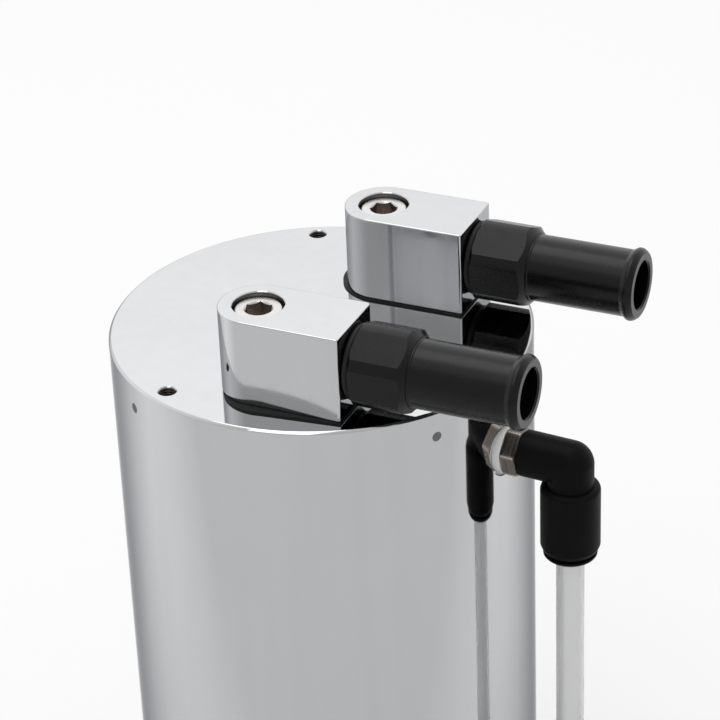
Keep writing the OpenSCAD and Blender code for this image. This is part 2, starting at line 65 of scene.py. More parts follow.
class Combine(Enum):
    """Ways in which one closed form works on another."""

    UNION = "UNION"
    CUT = "DIFFERENCE"
    MEET = "INTERSECT"


class Body(Enum):
    """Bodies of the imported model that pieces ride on."""

    CAN = "can"
    INLET = "inlet_port"
    OUTLET = "outlet_port"
    UPPER_RING = "upper_ring"
    LOWER_RING = "lower_ring"


# Shader tools


class Signal:
    """A number that varies over a surface, with arithmetic that adds Math nodes."""

    def __init__(self, bench: "Bench", socket: Socket) -> None:
        """Wraps an output socket of a bench's node tree."""
        self.bench = bench
        self.socket = socket

    def math(self, operation: str, *values: "Value", clamp: bool = False) -> "Signal":
        """Adds a Math node with those inputs, and may keep its result between 0 and 1."""
        node = self.bench.node("ShaderNodeMath", {"operation": operation, "use_clamp": clamp},
                               dict(enumerate(values)))
        return Signal(self.bench, node.outputs[0])

    def __add__(self, other: "Value") -> "Signal":
        """Adds a number or another signal."""
        return self.math("ADD", self, other)

    def __radd__(self, other: "Value") -> "Signal":
        """Adds this signal to a number."""
        return self.math("ADD", other, self)

    def __sub__(self, other: "Value") -> "Signal":
        """Subtracts a number or another signal."""
        return self.math("SUBTRACT", self, other)

    def __rsub__(self, other: "Value") -> "Signal":
        """Subtracts this signal from a number."""
        return self.math("SUBTRACT", other, self)

    def __mul__(self, other: "Value") -> "Signal":
        """Multiplies by a number or another signal."""
        return self.math("MULTIPLY", self, other)

    def __rmul__(self, other: "Value") -> "Signal":
        """Multiplies a number by this signal."""
        return self.math("MULTIPLY", other, self)

    def waves(self, length: float) -> "Signal":
        """Makes sine waves of that length along the signal."""
        return self.math("SINE", self * (2 * math.pi / length))

    def root(self) -> "Signal":
        """Takes the square root of the signal."""
        return self.math("SQRT", self)

    def size(self) -> "Signal":
        """Takes the signal without its sign."""
        return self.math("ABSOLUTE", self)

    def most(self, other: "Value") -> "Signal":
        """Takes the larger of two values."""
        return self.math("MAXIMUM", self, other)

    def rise(self, low: float, high: float) -> "Signal":
        """Goes from 0 where the signal is low to 1 where it is high, and stays there."""
        scale = 1.0 / (high - low)
        return self.math("MULTIPLY_ADD", self, scale, -low * scale, clamp=True)


Value = Union[float, Signal]


class Bench:
    """The node tree of one finish, filled by a few short calls."""

    def __init__(self, tree: Tree) -> None:
        """Empties a node tree and keeps it."""
        self.tree = tree
        tree.nodes.clear()

    @classmethod
    def for_material(cls, name: str) -> tuple["Bench", Material]:
        """Starts a material with that name.

        Args:
            name: Name of the material.

        Returns:
            The bench and the material.
        """
        material = bpy.data.materials.new(name)
        material.use_nodes = True
        return cls(material.node_tree), material

    def node(self, kind: str, settings: Optional[dict[str, Any]] = None,
             inputs: Optional[dict[Union[int, str], Any]] = None) -> Node:
        """Adds a node, sets it, and fills or links its sockets.

        Args:
            kind: The node's type name.
            settings: Attributes of the node.
            inputs: A value, Signal or socket for each input, by name or number. A plain
                colour gets its alpha here.

        Returns:
            The new node.
        """
        node = self.tree.nodes.new(kind)
        for key, value in (settings or {}).items():
            setattr(node, key, value)
        for key, value in (inputs or {}).items():
            socket = node.inputs[key]
            if isinstance(value, Signal):
                value = value.socket
            if isinstance(value, Socket):
                self.tree.links.new(value, socket)
            elif socket.type == "RGBA":
                socket.default_value = (*value, 1.0)
            else:
                socket.default_value = value
        return node

    def signal(self, node: Node, output: Union[int, str] = 0) -> Signal:
        """Wraps one output of a node."""
        return Signal(self, node.outputs[output])

    def place(self, centre: Triple = (0.0, 0.0, 0.0), turn: Triple = (0.0, 0.0, 0.0),
              stretch: Triple = (1.0, 1.0, 1.0)) -> Socket:
        """Gives the object's own coordinates, in metres.

        Args:
            centre: Point that becomes the pattern's origin.
            turn: Angles about X, Y and Z, in degrees, that line the pattern up.
            stretch: Scale of the pattern along each axis.

        Returns:
            The socket with the mapped coordinates.
        """
        source = self.node("ShaderNodeTexCoord").outputs["Object"]
        shift = self.node("ShaderNodeMapping", {"vector_type": "POINT"},
                          {"Vector": source, "Location": tuple(-c for c in centre)})
        angles = tuple(-math.radians(angle) for angle in turn)
        lined = self.node("ShaderNodeMapping", {"vector_type": "POINT"},
                          {"Vector": shift.outputs[0], "Rotation": angles, "Scale": stretch})
        return lined.outputs[0]

    def outward(self) -> Socket:
        """Gives the direction that the surface faces, in the object's own axes."""
        return self.node("ShaderNodeTexCoord").outputs["Normal"]

    def axes(self, place: Socket) -> list[Signal]:
        """Splits coordinates into X, Y and Z signals."""
        node = self.node("ShaderNodeSeparateXYZ", inputs={0: place})
        return [self.signal(node, index) for index in range(3)]

    def noise(self, scale: float, detail: float = 2.0,
              stretch: Triple = (1.0, 1.0, 1.0)) -> Signal:
        """Adds clouds around 0.5, so many in a metre, with finer layers."""
        return self.signal(self.node("ShaderNodeTexNoise", {"noise_dimensions": "3D"}, {
            "Vector": self.place(stretch=stretch), "Scale": scale, "Detail": detail}))

    def near(self, point: Triple, radius: float, soft: float) -> Signal:
        """Gives 1 within a radius of a point and 0 outside, with a soft edge."""
        away = self.node("ShaderNodeVectorMath", {"operation": "DISTANCE"},
                         {0: self.place(), 1: point})
        return 1.0 - self.signal(away, "Value").rise(radius - soft, radius)

    def well(self, mouth: Triple, radius: float) -> Signal:
        """Gives 1 below an upright hole's mouth and within a radius, and 0 elsewhere."""
        x, y, z = self.axes(self.place(mouth))
        return (1.0 - (x * x + y * y).root().rise(radius, radius + SPOT_EDGE)) * (
            z * -1.0).rise(*WELL_SHADE)

    def blend(self, factor: Value, first: Any, second: Any) -> Socket:
        """Mixes two colours or sockets, the first at 0 and the second at 1."""
        return self.node("ShaderNodeMix", {"data_type": "RGBA"},
                         {0: factor, 6: first, 7: second}).outputs[2]

    def bump(self, height: Signal, distance: float, strength: float = 1.0,
             below: Optional[Socket] = None) -> Socket:
        """Turns a height pattern into a normal.

        Args:
            height: The pattern.
            distance: Height in metres where the pattern is 1.
            strength: How strongly the bump shows.
            below: Normal of a bump that this one lies on.

        Returns:
            The normal socket.
        """
        inputs: dict[Union[int, str], Any] = {"Height": height, "Distance": distance,
                                              "Strength": strength}
        if below is not None:
            inputs["Normal"] = below
        return self.node("ShaderNodeBump", inputs=inputs).outputs[0]

    def principled(self, **sockets: Any) -> None:
        """Ends the tree with a Principled shader; an underscore is a space in a name."""
        shader = self.node("ShaderNodeBsdfPrincipled", inputs={
            name.replace("_", " "): value for name, value in sockets.items()})
        self.end(shader)

    def end(self, shader: Node, kind: str = "Material") -> None:
        """Links a shader to the output of a material or a world."""
        self.node(f"ShaderNodeOutput{kind}", inputs={"Surface": shader.outputs[0]})


# Finishes


@dataclass(frozen=True)
class Finish:
    """A surface finish with its own node tree."""

    name: str
    slot: str

    def dress(self, bench: Bench) -> None:
        """Fills the node tree."""
        raise NotImplementedError

    @functools.cache
    def material(self) -> Material:
        """Builds the material once, and gives it again after that."""
        bench, material = Bench.for_material(f"{self.name}_finish")
        self.dress(bench)
        return material


@dataclass(frozen=True)
class MirrorAluminium(Finish):
    """Mirror-polished aluminium with faint buffing marks, optional etched dots, an optional
    painted reflection streak and painted shade in holes.
    """

    name: str = "mirror_aluminium"
    slot: str = "polished_aluminium"
    colour: Triple = (0.705, 0.71, 0.72)
    haze: Triple = (0.67, 0.675, 0.685)
    roughness: float = 0.035
    dots: tuple[Triple, ...] = ()
    dot_radius: float = 1.5 * MM
    etched: Triple = (0.23, 0.23, 0.225)
    # Holes that get painted shade, and the colour of that shade.
    wells: tuple[tuple[Triple, float], ...] = ()
    well_shade_colour: Triple = (0.055, 0.052, 0.048)
    edge_tint: Triple = (0.36, 0.365, 0.375)
    # Where the painted reflection streak lies along x, and the painted colour beside it.
    reflection_streak: Optional[float] = None
    shaded: Triple = (0.34, 0.342, 0.352)

    def dress(self, bench: Bench) -> None:
        """Adds buffing marks, a slight haze, etched dots, a painted dark reflection streak on
        faces that look along -Y, and painted shade in holes.

        Args:
            bench: The finish's empty node tree.
        """
        haze = bench.noise(30.0, 3.0).rise(0.4, 0.75)
        streak = bench.noise(220.0, 3.0, stretch=(1.0, 1.0, 0.03)).rise(0.35, 0.75)
        scratch = bench.noise(900.0, 2.0, stretch=(1.0, 1.0, 0.05)).rise(0.45, 0.8)
        colour = bench.blend(haze * 0.5 + streak * 0.5, self.colour, self.haze)
        rough: Value = self.roughness + haze * 0.025 + scratch * 0.02 + streak * 0.02
        normal = bench.bump(bench.noise(70.0, 1.0), 0.02 * MM, 0.25)
        if self.dots:
            first, *others = (bench.near(dot, self.dot_radius, 0.12 * MM) for dot in self.dots)
            mark = functools.reduce(Signal.most, others, first)
            colour = bench.blend(mark, colour, self.etched)
            rough = rough + mark * (0.35 + bench.noise(2500.0, 1.0) * 0.2)
            normal = bench.bump(mark * -1.0, 0.04 * MM, 0.6, normal)
        # Painted reflection: a dark line at that x and a half-dark strip on its +x side, only on
        # faces that look along -Y.
        if self.reflection_streak is not None:
            side = (bench.axes(bench.outward())[1] * -1.0).rise(0.9, 0.99)
            across = bench.axes(bench.place())[0] - self.reflection_streak
            mark = 1.0 - across.size().rise(0.2 * MM, 1.3 * MM)
            shade = (across.rise(0.0, 1.5 * MM) * 0.5).most(mark * 0.85)
            colour = bench.blend(side * shade, colour, self.shaded)
            rough = rough + side * (0.05 + streak * 0.05)
        # Painted shade inside holes, below their mouths.
        for mouth, radius in self.wells:
            well = bench.well(mouth, radius)
            colour = bench.blend(well, colour, self.well_shade_colour)
            rough = rough + well * 0.3
        bench.principled(Base_Color=colour, Metallic=1.0, Roughness=rough, Normal=normal,
                         Specular_Tint=self.edge_tint)


@dataclass(frozen=True)
class TurnedAluminium(Finish):
    """Plain machined aluminium with fine turning rings about the can's axis."""

    name: str = "turned_aluminium"
    slot: str = "plain_aluminium"
    colour: Triple = (0.74, 0.745, 0.755)

    def dress(self, bench: Bench) -> None:
        """Adds turning rings and a cloudy oxide tone.

        Args:
            bench: The finish's empty node tree.
        """
        x, y, _ = bench.axes(bench.place())
        rings = (x * x + y * y).root().waves(0.5 * MM)
        cloud = bench.noise(60.0, 3.0)
        colour = bench.blend(cloud, self.colour, (0.66, 0.665, 0.675))
        bench.principled(Base_Color=colour, Metallic=1.0, Roughness=0.24 + cloud * 0.14,
                         Normal=bench.bump(rings, 0.006 * MM, 0.5))


@dataclass(frozen=True)
class BlackAnodised(Finish):
    """Black anodised aluminium with fine cutter lines around the hose axis."""

    name: str = "black_anodised"
    slot: str = "black_anodised"
    colour: Triple = (0.0015, 0.0015, 0.0016)

    def dress(self, bench: Bench) -> None:
        """Adds cutter lines, a faint mottle and worn high spots.

        Args:
            bench: The finish's empty node tree.
        """
        x, _, _ = bench.axes(bench.place())
        lines = x.waves(0.42 * MM)
        mottle = bench.noise(350.0, 3.0)
        wear = bench.noise(45.0, 4.0).rise(0.5, 0.8)
        colour = bench.blend(wear, self.colour, (0.0035, 0.0035, 0.0037))
        bench.principled(Base_Color=colour, Roughness=0.22 + mottle * 0.1,
                         Specular_IOR_Level=0.3,
                         Normal=bench.bump(lines + mottle * 2.0, 0.004 * MM, 0.5))


@dataclass(frozen=True)
class BoltSteel(Finish):
    """Stainless socket-head steel, satin, with painted shade in the socket."""

    name: str = "bolt_steel"
    slot: str = "steel"
    colour: Triple = (0.67, 0.662, 0.648)
    wells: tuple[tuple[Triple, float], ...] = ()

    def dress(self, bench: Bench) -> None:
        """Adds a satin grain and painted shade in the sockets.

        Args:
            bench: The finish's empty node tree.
        """
        grain = bench.noise(1600.0, 2.0)
        stain = bench.noise(240.0, 3.0).rise(0.45, 0.75)
        colour = bench.blend(stain, self.colour, (0.58, 0.568, 0.55))
        # Painted shade inside the sockets.
        for mouth, radius in self.wells:
            colour = bench.blend(bench.well(mouth, radius), colour, (0.40, 0.36, 0.325))
        bench.principled(Base_Color=colour, Metallic=1.0, Roughness=0.2 + grain * 0.16,
                         Normal=bench.bump(grain, 0.008 * MM, 0.4))


@dataclass(frozen=True)
class Nickel(Finish):
    """Nickel-plated brass with fine lines, and hexagon corners brightened as worn plating and as
    a painted highlight.
    """

    name: str = "nickel_plate"
    slot: str = "nickel"
    colour: Triple = (0.40, 0.36, 0.325)
    worn: Triple = (0.62, 0.54, 0.47)
    axis: Triple = (0.0, 0.0, 0.0)
    turn: float = 0.0
    corner: float = 7.27 * MM

    def dress(self, bench: Bench) -> None:
        """Adds fine lines, a warm tarnish and worn corners.

        Args:
            Adds fine lines, a warm tarnish, and corners brightened as wear and as a painted
            highlight.
        """
        x, y, z = bench.axes(bench.place(self.axis, (0.0, 0.0, self.turn)))
        # Brighter corners: worn plating, and also a painted highlight on the rounded corners.
        wear = (y * y + z * z).root().rise(self.corner - 0.42 * MM, self.corner - 0.2 * MM)
        lines = x.waves(0.3 * MM)
        tarnish = bench.noise(650.0, 2.0, stretch=(1.0, 0.08, 0.08)).rise(0.42, 0.6)
        colour = bench.blend(tarnish, self.colour, (0.25, 0.225, 0.2))
        colour = bench.blend(wear, colour, self.worn)
        bench.principled(Base_Color=colour, Metallic=1.0, Roughness=0.14 + tarnish * 0.16,
                         Normal=bench.bump(lines, 0.006 * MM, 0.6))


@dataclass(frozen=True)
class Clouded(Finish):
    """A plain finish whose colour and roughness change a little in soft clouds.

    Attributes:
        colour: The main colour.
        cloud: The colour in the clouds.
        clouds: Number of clouds in a metre, and of finer layers.
        spread: Where the clouds begin in the pattern, and where they are full.
        rough: Roughness outside the clouds, and what they add.
        metallic: 1 for metal.
        shine: Specular level.
    """

    colour: Triple
    cloud: Triple
    clouds: Pair
    spread: Pair
    rough: Pair
    metallic: float = 0.0
    shine: float = 0.5

    def dress(self, bench: Bench) -> None:
        """Adds the clouds.

        Args:
            bench: The finish's empty node tree.
        """
        cloud = bench.noise(*self.clouds).rise(*self.spread)
        bench.principled(Base_Color=bench.blend(cloud, self.colour, self.cloud),
                         Metallic=self.metallic, Specular_IOR_Level=self.shine,
                         Roughness=self.rough[0] + cloud * self.rough[1])


@dataclass(frozen=True)
class MouldedBlack(Finish):
    """Black moulded plastic with a fine spark-eroded grain."""

    name: str = "moulded_black"
    slot: str = "black_plastic"
    colour: Triple = (0.0022, 0.0022, 0.0023)
    roughness: float = 0.42
    seam: Optional[tuple[Triple, float]] = None

    def dress(self, bench: Bench) -> None:
        """Adds the grain, a soft mottle and the seam of the mould's halves.

        Args:
            bench: The finish's empty node tree.
        """
        grain = bench.noise(2600.0, 2.0)
        mottle = bench.noise(120.0, 3.0)
        colour = bench.blend(mottle, self.colour, (0.007, 0.007, 0.0072))
        normal = bench.bump(grain, 0.03 * MM, 0.35)
        if self.seam:
            _, y, _ = bench.axes(bench.place(self.seam[0], (0.0, 0.0, self.seam[1])))
            ridge = 1.0 - y.size().rise(0.05 * MM, 0.16 * MM)
            normal = bench.bump(ridge, 0.06 * MM, 0.8, normal)
        bench.principled(Base_Color=colour, Roughness=self.roughness + mottle * 0.1,
                         Specular_IOR_Level=0.07, Normal=normal)


@dataclass(frozen=True)
class ClearTube(Finish):
    """Slightly cloudy flexible level tube."""

    name: str = "clear_tube"
    slot: str = "clear_tube"

    def dress(self, bench: Bench) -> None:
        """Adds faint extrusion lines along the tube.

        Args:
            bench: The finish's empty node tree.
        """
        lines = bench.noise(1400.0, 2.0, stretch=(1.0, 1.0, 0.02))
        cloud = bench.noise(90.0, 2.0, stretch=(1.0, 1.0, 0.3))
        bench.principled(Base_Color=(0.95, 0.955, 0.95), Roughness=0.08 + cloud * 0.12,
                         Transmission_Weight=0.76, IOR=1.45,
                         Normal=bench.bump(lines, 0.01 * MM, 0.3))


# Form tools


def placed(name: str, data: bpy.types.ID) -> Object:
    """Puts data in the scene as an object.

    Args:
        name: Name of the object.
        data: Its mesh, light or camera.

    Returns:
        The object.
    """
    thing = bpy.data.objects.new(name, data)
    bpy.context.scene.collection.objects.link(thing)
    return thing


class Form:
    """A closed mesh in millimetres that operators shape step by step."""

    def __init__(self, mesh: Optional[bmesh.types.BMesh] = None) -> None:
        """Starts empty or from a mesh."""
        self.mesh = mesh or bmesh.new()

    @classmethod
    def turned(cls, profile: Sequence[Pair], steps: int = ROUND, ring: bool = False) -> "Form":
        """Spins a profile about Z.

        Args:
            profile: Points as (radius, height). Flat ends up to the axis are added.
            steps: Number of steps in the full turn.
            ring: Whether the profile closes on itself away from the axis instead.

        Returns:
            The turned form.
        """
        form = cls()
        bm = form.mesh
        if not ring:
            ends = [[(0, height)] if radius else [] for radius, height in
                    (profile[0], profile[-1])]
            profile = [*ends[0], *profile, *ends[1]]
        points = [bm.verts.new((radius, 0.0, height)) for radius, height in profile]
        edges = [bm.edges.new(pair) for pair in zip(points, points[1:])]
        if ring:
            edges.append(bm.edges.new((points[-1], points[0])))
        bmesh.ops.spin(bm, geom=points + edges, cent=(0, 0, 0), axis=(0, 0, 1), dvec=(0, 0, 0),
                       angle=2 * math.pi, steps=steps, use_merge=True, use_duplicate=False)
        bmesh.ops.remove_doubles(bm, verts=bm.verts, dist=TINY)
        bmesh.ops.recalc_face_normals(bm, faces=bm.faces)
        return form

    @classmethod
    def bar(cls, radius: float, low: float, high: float, steps: int = ROUND) -> "Form":
        """Makes a round bar about Z from one height to another."""
        return cls.turned([(radius, low), (radius, high)], steps)

    @classmethod
    def pipe(cls, inside: float, outside: float, low: float, high: float) -> "Form":
        """Makes a round pipe about Z from its two radii and its two ends."""
        return cls.turned([(inside, low), (outside, low), (outside, high), (inside, high)],
                          ring=True)

    @classmethod
    def prism(cls, sides: int, flats: float, low: float, high: float,
              turn: float = 0.0) -> "Form":
        """Makes a regular prism about Z.

        Args:
            sides: Number of sides.
            flats: Width across the flats.
            low: Height of the lower end.
            high: Height of the upper end.
            turn: Direction of one corner from +X, in degrees.

        Returns:
            The prism.
        """
        form = cls()
        radius = flats / 2 / math.cos(math.pi / sides)
        bmesh.ops.create_cone(form.mesh, cap_ends=True, cap_tris=False, segments=sides,
                              radius1=radius, radius2=radius, depth=high - low)
        return form.move(at(0, 0, (low + high) / 2) @ spun(turn - 90))

    @classmethod
    def slab(cls, low: Triple, high: Triple) -> "Form":
        """Makes a rectangular block.

        Args:
            low: Its lowest corner.
            high: Its highest corner.

        Returns:
            The block.
        """
        form = cls()
        bmesh.ops.create_cube(form.mesh, size=1.0)
        size = [b - a for a, b in zip(low, high)]
        middle = [(a + b) / 2 for a, b in zip(low, high)]
        bmesh.ops.scale(form.mesh, vec=size, verts=form.mesh.verts)
        bmesh.ops.translate(form.mesh, vec=middle, verts=form.mesh.verts)
        return form

    def copy(self) -> "Form":
        """Gives an independent copy."""
        return Form(self.mesh.copy())

    def move(self, matrix: Matrix) -> "Form":
        """Moves the form, and keeps its faces outwards after a mirror.

        Args:
            matrix: The move.

        Returns:
            The form itself.
        """
        bmesh.ops.transform(self.mesh, matrix=matrix, verts=self.mesh.verts)
        if matrix.determinant() < 0:
            bmesh.ops.reverse_faces(self.mesh, faces=self.mesh.faces)
        return self

    def round_edges(self, width: float, segments: int = 2, sharper: float = 30.0,
                    only: Callable[[Edge], bool] = lambda edge: True) -> "Form":
        """Rounds the edges that are sharper than an angle.

        Args:
            width: How far the rounding reaches from the edge.
            segments: Number of steps across the rounding.
            sharper: Smallest angle between two faces, in degrees.
            only: Test that picks edges, such as those at one end.

        Returns:
            The form itself.
        """
        limit = math.radians(sharper)
        edges = [edge for edge in self.mesh.edges if edge.is_manifold
                 and edge.calc_face_angle(0.0) > limit and only(edge)]
        bmesh.ops.bevel(self.mesh, geom=edges, offset=width, offset_type="OFFSET",
                        segments=segments, profile=0.5, affect="EDGES", clamp_overlap=True,
                        material=-1)
        return self

    def _host(self) -> Object:
        """Puts the form in a passing object that a Boolean can read."""
        mesh = bpy.data.meshes.new("passing")
        self.mesh.to_mesh(mesh)
        return placed("passing", mesh)

    def combine(self, way: Combine, *others: "Form") -> "Form":
        """Joins, cuts or intersects the form with others, one after another.

        Args:
            way: What happens.
            others: The forms that work on this one.

        Returns:
            The form itself.
        """
        host = self._host()
        tools = [other._host() for other in others]
        for tool in tools:
            modifier = host.modifiers.new("combine", "BOOLEAN")
            modifier.operation = way.value
            modifier.solver = "EXACT"
            modifier.object = tool
        bpy.context.view_layer.update()
        shaped = host.evaluated_get(bpy.context.evaluated_depsgraph_get())
        self.mesh.clear()
        self.mesh.from_mesh(shaped.to_mesh())
        shaped.to_mesh_clear()
        for passing in (host, *tools):
            old = passing.data
            bpy.data.objects.remove(passing)
            bpy.data.meshes.remove(old)
        bmesh.ops.remove_doubles(self.mesh, verts=self.mesh.verts, dist=TINY)
        return self

    def cut(self, *others: "Form") -> "Form":
        """Cuts other forms out of this one."""
        return self.combine(Combine.CUT, *others)

    def join(self, *others: "Form") -> "Form":
        """Joins other forms to this one."""
        return self.combine(Combine.UNION, *others)

    def meet(self, other: "Form") -> "Form":
        """Keeps what this form shares with another."""
        return self.combine(Combine.MEET, other)

    def piece(self, name: str, finish: Finish, body: Body, *nodes: str, sharp: float = 32.0,
              weighted: bool = True) -> Object:
        """Turns the form into a finished piece of the model.

        Args:
            name: Name of the piece.
            finish: Its finish.
            body: The body it rides on.
            nodes: CAD nodes that it stands for.
            sharp: Angle in degrees from which an edge is shaded sharp.
            weighted: Whether large faces settle the shading of small ones.

        Returns:
            The object.
        """
        mesh = bpy.data.meshes.new(name)
        bmesh.ops.scale(self.mesh, vec=(MM, MM, MM), verts=self.mesh.verts)
        self.mesh.to_mesh(mesh)
        self.mesh.free()
        mesh.shade_smooth()
        mesh.set_sharp_from_angle(angle=math.radians(sharp))
        mesh.materials.append(finish.material())
        piece = placed(name, mesh)
        if weighted:
            shading = piece.modifiers.new("shading", "WEIGHTED_NORMAL")
            shading.keep_sharp = True
        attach(piece, body.value)
        if nodes:
            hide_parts(*nodes)
        LOG.info("%s: %d faces in %s", name, len(mesh.polygons), finish.name)
        return piece


ALONG_X = Matrix.Rotation(math.radians(90), 4, "Y")
UPSIDE_DOWN = Matrix.Diagonal((1.0, 1.0, -1.0, 1.0))


def at(x: float, y: float, z: float) -> Matrix:
    """Gives a shift."""
    return Matrix.Translation((x, y, z))


def spun(angle: float) -> Matrix:
    """Gives a turn about Z, in degrees."""
    return Matrix.Rotation(math.radians(angle), 4, "Z")


def metres(x: float, y: float, z: float) -> Triple:
    """Gives a place in metres for a finish."""
    return x * MM, y * MM, z * MM


def upright(edge: Edge) -> bool:
    """Tells whether an edge runs along Z."""
    return abs(edge.verts[0].co.z - edge.verts[1].co.z) > 1


def arc(centre: Pair, radius: float, start: float, end: float, steps: int) -> list[Pair]:
    """Gives profile points on an arc; its angles are in degrees from the outward side."""
    angles = [math.radians(start + (end - start) * step / steps) for step in range(steps + 1)]
    return [(centre[0] + radius * math.cos(a), centre[1] + radius * math.sin(a))
            for a in angles]


MIRROR = MirrorAluminium()
TURNED = TurnedAluminium()
ANODISED = BlackAnodised()
STEEL = BoltSteel()
COPPER = Clouded("copper_washer", "copper", colour=(0.72, 0.36, 0.20),
                 cloud=(0.50, 0.24, 0.13), clouds=(220.0, 4.0), spread=(0.35, 0.75),
                 rough=(0.25, 0.2), metallic=1.0)
RING_PLASTIC = MouldedBlack(name="release_ring_black", roughness=0.33)
RUBBER = Clouded("black_rubber", "rubber", colour=(0.008, 0.008, 0.008),
                 cloud=(0.02, 0.02, 0.02), clouds=(400.0, 3.0), spread=(0.4, 0.8),
                 rough=(0.55, 0.2), shine=0.3)
WHITE = Clouded("white_seal", "white_seal", colour=(0.93, 0.93, 0.92),
                cloud=(0.87, 0.87, 0.855), clouds=(300.0, 3.0), spread=(0.0, 1.0),
                rough=(0.32, 0.15))
CLEAR = ClearTube()


# Sub-assemblies


@dataclass
class GaugeFrame:
    """Where the level gauge's fittings sit on the can."""

    turn: float = -4.0
    side: float = -4.5
    upper: float = 166.2
    lower: float = 26.0

    def place(self, height: float) -> Matrix:
        """Gives the gauge's own axes at a height, with +X away from the can."""
        return spun(self.turn) @ at(0, self.side, height)

    def ends(self) -> tuple[Matrix, Matrix]:
        """Gives the place of the upper fitting and, upside down, of the lower one."""
        return self.place(self.upper), self.place(self.lower) @ UPSIDE_DOWN


@dataclass
class CanShell:
    """The polished can with its top, bracket holes and gauge seats."""

    radius: float = 60.0
    height: float = 190.0
    bottom: float = 6.0
    top: float = 10.0
    wall: float = 4.0
    ring_inside: float = 51.0
    ring_top: float = 16.0
    bevel: float = 0.8
    bracket: tuple[Pair, ...] = ((-23.5, 49.3), (-23.5, -49.3))
    bracket_hole: float = 2.5
    bracket_depth: float = 8.0
    bracket_pitch: float = 0.8
    bracket_shade: float = 2.55
    bolts: tuple[Pair, ...] = ((0.0, -38.0), (8.0, 28.0))
    bolt_hole: float = 5.1
    seat: float = 58.3
    seat_hole: float = 8.0
    thread_hole: float = 4.95
    dot_drop: float = 7.6
    dot_angles: tuple[float, ...] = (-34.7, 55.3, 145.3, -124.7)
    gauge: GaugeFrame = field(default_factory=GaugeFrame)

    def shell(self) -> Form:
        """Turns the can with its screw ring inside the lower edge."""
        inside = self.radius - self.wall
        form = Form.turned([
            (self.radius - self.bevel, self.height), (self.radius, self.height - self.bevel),
            (self.radius, self.bottom), (self.ring_inside, self.bottom),
            (self.ring_inside, self.ring_top), (inside, self.ring_top),
            (inside, self.height - self.top)], FINE)
        rim = self.height - self.bevel - 0.1
        return form.round_edges(0.22, only=lambda edge: min(v.co.z for v in edge.verts) > rim
                                or max(v.co.z for v in edge.verts) < self.bottom + 0.1)

    def threaded_hole(self) -> Form:
        """Makes a cutter with a countersink and thread grooves, down from the top face."""
        pitch, major, start = self.bracket_pitch, self.bracket_hole, -0.65
        minor = major - 0.4
        profile = [(major + 1.25, 1.0), (major + 0.25, 0.0), (minor, start)]
        for turn in range(int((self.bracket_depth - 1.5) / pitch)):
            down = start - turn * pitch
            profile += [(major, down - pitch * 0.45), (minor, down - pitch * 0.9),
                        (minor, down - pitch)]
        return Form.turned([*profile, (0, -self.bracket_depth)], SMALL)

    def gauge_seat(self, place: Matrix) -> list[Form]:
        """Makes the cutters for one gauge fitting's flat seat and threaded hole.

        Args:
            place: Place of the fitting.

        Returns:
            The two cutters.
        """
        seat = Form.bar(self.seat_hole, self.seat, self.radius + 4)
        hole = Form.bar(self.thread_hole, self.seat - self.wall - 5, self.seat + 1)
        return [form.move(place @ ALONG_X) for form in (seat, hole)]

    def true_wall(self, mesh: Mesh) -> None:
        """Shades the wall as a true cylinder and the top as a true flat, up to the rim.

        Args:
            mesh: The can's finished mesh, in metres.
        """
        reach = (self.radius - 0.05) * MM
        flat = (self.radius - self.bevel - 0.3) * MM
        top = (self.height - 0.01) * MM
        normals = [Vector(corner.vector) for corner in mesh.corner_normals]
        for face in mesh.polygons:
            level = abs(face.normal.z) > 0.999
            outer = all(mesh.vertices[index].co.xy.length > flat for index in face.vertices)
            for loop in face.loop_indices:
                co = mesh.vertices[mesh.loops[loop].vertex_index].co
                if level or (outer and co.z > top):
                    normals[loop] = Vector((0.0, 0.0, math.copysign(1.0, face.normal.z)))
                elif outer and co.xy.length > reach:
                    normals[loop] = Vector((co.x, co.y, 0.0)).normalized()
        mesh.normals_split_custom_set(normals)

    def build(self) -> None:
        """Builds the can and gives it its etched dots."""
        form = self.shell()
        cutters = [Form.bar(self.bolt_hole, self.height - self.top - 1, self.height + 1)
                   .move(at(x, y, 0)) for x, y in self.bolts]
        cutters += [self.threaded_hole().move(at(x, y, self.height)) for x, y in self.bracket]
        for end in self.gauge.ends():
            cutters += self.gauge_seat(end)
        form.cut(*cutters)
        dot = Vector((self.radius, 0, self.height - self.dot_drop))
        dots = tuple(metres(*(spun(angle) @ dot)) for angle in self.dot_angles)
        # Painted shade inside the bracket holes.
        wells = tuple((metres(x, y, self.height), self.bracket_shade * MM)
                      for x, y in self.bracket)
        finish = MirrorAluminium(name="mirror_aluminium_can", dots=dots, wells=wells)
        can = form.piece("can_shell", finish, Body.CAN, "can_body", weighted=False)
        self.true_wall(can.data)


